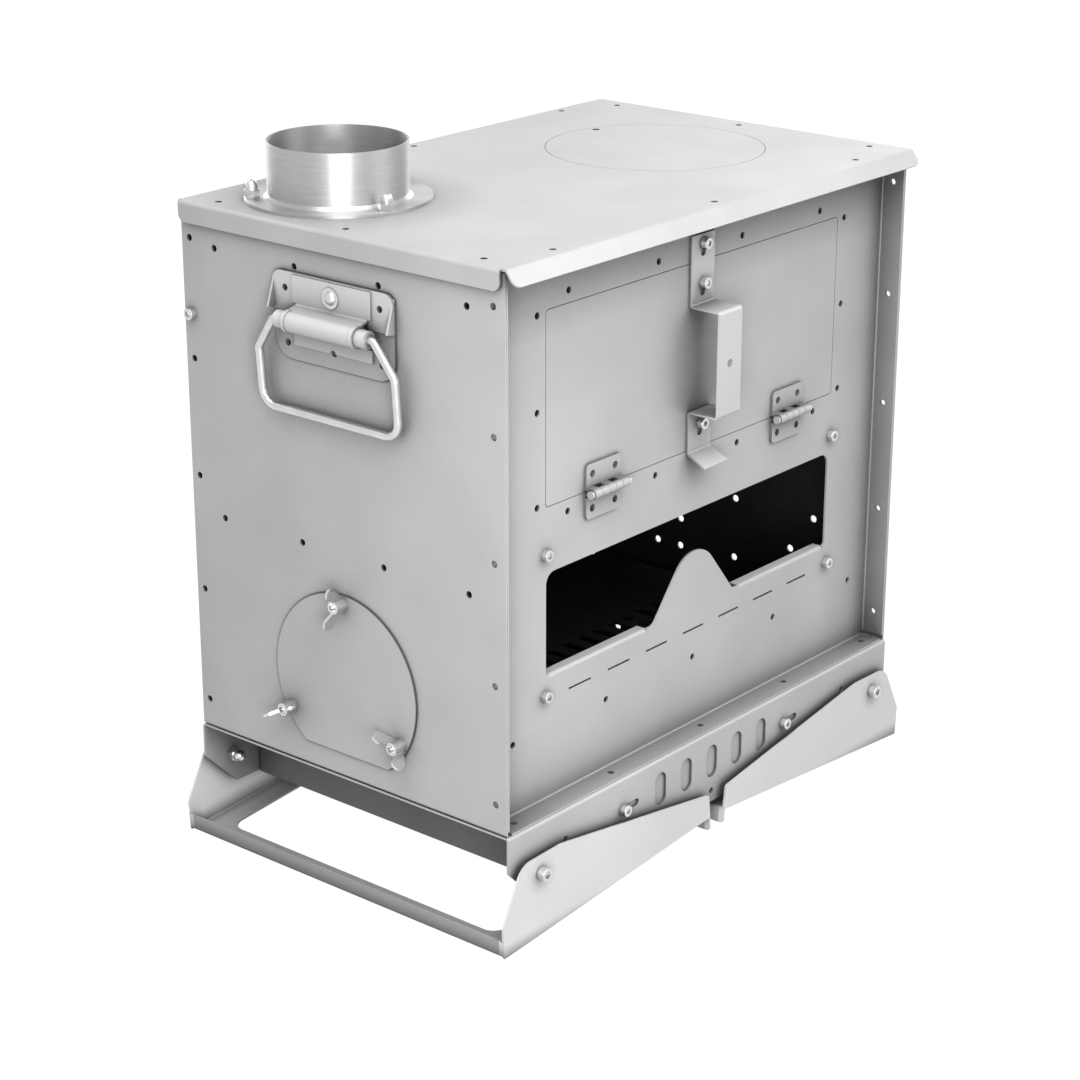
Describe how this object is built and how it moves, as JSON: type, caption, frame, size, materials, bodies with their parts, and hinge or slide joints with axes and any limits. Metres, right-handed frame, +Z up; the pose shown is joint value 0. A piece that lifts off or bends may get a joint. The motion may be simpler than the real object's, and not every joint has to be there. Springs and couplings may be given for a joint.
{
  "type": "folding camp oven",
  "caption": "Box-shaped sheet-steel wood-fired camp oven with drop-down oven door, fire mouth, hob disc, flue collar, round ash door, carry handles and fold-out legs.",
  "frame": {"origin": "on the ground under the centre of the body, with the legs folded", "axes": "+X to the right along the front, +Y to the back, +Z up"},
  "size_m": [0.5068, 0.326, 0.5267],
  "materials": {
    "sheet_steel": "satin sheet steel",
    "flue_steel": "brushed stainless tube",
    "bright_steel": "bright plated steel",
    "dark_steel": "heat-darkened steel"
  },
  "bodies": {
    "body": {"left_panel": "sheet_steel", "right_panel": "sheet_steel", "front_panel": "sheet_steel", "back_panel": "sheet_steel", "oven_floor": "dark_steel", "oven_roof": "dark_steel", "oven_back": "dark_steel", "door_frame": "dark_steel", "catch_screw": "bright_steel", "catch_nut": "bright_steel", "mouth_screws": "bright_steel", "mouth_nuts": "bright_steel", "side_screw": "bright_steel", "side_nut": "bright_steel", "lid": "sheet_steel", "hob_support_ring": "sheet_steel", "flue_collar": "flue_steel", "flue_screws": "bright_steel", "flue_cap_nuts": "bright_steel", "base_tray": "sheet_steel", "left_cross_wall": "sheet_steel", "right_cross_wall": "sheet_steel", "air_box_floor": "sheet_steel", "fire_grate": "dark_steel", "leg_pivot_screws": "bright_steel", "leg_spacers": "bright_steel", "leg_pivot_cap_nuts": "bright_steel", "left_hinge_fixed_leaf": "sheet_steel", "right_hinge_fixed_leaf": "sheet_steel", "left_hinge_pin": "bright_steel", "right_hinge_pin": "bright_steel", "port_studs": "bright_steel", "left_handle_plate": "sheet_steel", "left_handle_barrel": "bright_steel", "left_handle_rivet": "bright_steel", "right_handle_plate": "sheet_steel", "right_handle_barrel": "bright_steel", "right_handle_rivet": "bright_steel"},
    "door": {"oven_door": "sheet_steel", "left_hinge_door_leaf": "sheet_steel", "right_hinge_door_leaf": "sheet_steel", "latch_guide_screws": "bright_steel", "latch_guide_nuts": "bright_steel"},
    "latch": {"latch_bar": "sheet_steel"},
    "left_leg": {"left_leg": "sheet_steel"},
    "right_leg": {"right_leg": "sheet_steel"},
    "damper": {"air_slider": "sheet_steel", "air_slider_screws": "bright_steel", "air_slider_nuts": "bright_steel"},
    "left_bail": {"left_bail": "bright_steel", "left_bail_bushes": "bright_steel"},
    "right_bail": {"right_bail": "bright_steel", "right_bail_bushes": "bright_steel"},
    "hob": {"hob_disc": "sheet_steel"},
    "ash_door": {"port_cover": "sheet_steel"},
    "wing_top": {"wing_nut_top": "bright_steel"},
    "wing_back": {"wing_nut_back": "bright_steel"},
    "wing_front": {"wing_nut_front": "bright_steel"}
  },
  "joints": [
    {"name": "door_hinge", "type": "hinge", "parent": "body", "child": "door", "pos_m": [0, -0.1376, 0.3035], "axis": [1, 0, 0], "range_deg": [0, 72.5]},
    {"name": "latch_slide", "type": "slide", "parent": "door", "child": "latch", "axis": [0, 0, 1], "range_m": [0, 0.0066]},
    {"name": "left_leg_hinge", "type": "hinge", "parent": "body", "child": "left_leg", "pos_m": [-0.2063, 0, 0.0515], "axis": [0, 1, 0], "range_deg": [0, 94.7]},
    {"name": "right_leg_hinge", "type": "hinge", "parent": "body", "child": "right_leg", "pos_m": [0.2063, 0, 0.0515], "axis": [0, -1, 0], "range_deg": [0, 94.7]},
    {"name": "damper_slide", "type": "slide", "parent": "body", "child": "damper", "axis": [1, 0, 0], "range_m": [0, 0.01565]},
    {"name": "left_bail_hinge", "type": "hinge", "parent": "body", "child": "left_bail", "pos_m": [-0.2455, 0.0013, 0.421], "axis": [0, 1, 0], "range_deg": [0, 92]},
    {"name": "right_bail_hinge", "type": "hinge", "parent": "body", "child": "right_bail", "pos_m": [0.2455, 0.0013, 0.421], "axis": [0, -1, 0], "range_deg": [0, 92]},
    {"name": "hob_disc_lift", "type": "slide", "parent": "body", "child": "hob", "axis": [0, 0, 1], "range_m": [0, 0.05]},
    {"name": "ash_door_slide", "type": "slide", "parent": "body", "child": "ash_door", "axis": [-1, 0, 0], "range_m": [0, 0.015]},
    {"name": "wing_top_spin", "type": "hinge", "parent": "ash_door", "child": "wing_top", "pos_m": [-0.235, -0.0004, 0.2203], "axis": [-1, 0, 0], "continuous": true},
    {"name": "wing_back_spin", "type": "hinge", "parent": "ash_door", "child": "wing_back", "pos_m": [-0.235, 0.05277, 0.1282], "axis": [-1, 0, 0], "continuous": true},
    {"name": "wing_front_spin", "type": "hinge", "parent": "ash_door", "child": "wing_front", "pos_m": [-0.235, -0.05357, 0.1282], "axis": [-1, 0, 0], "continuous": true}
  ]
}
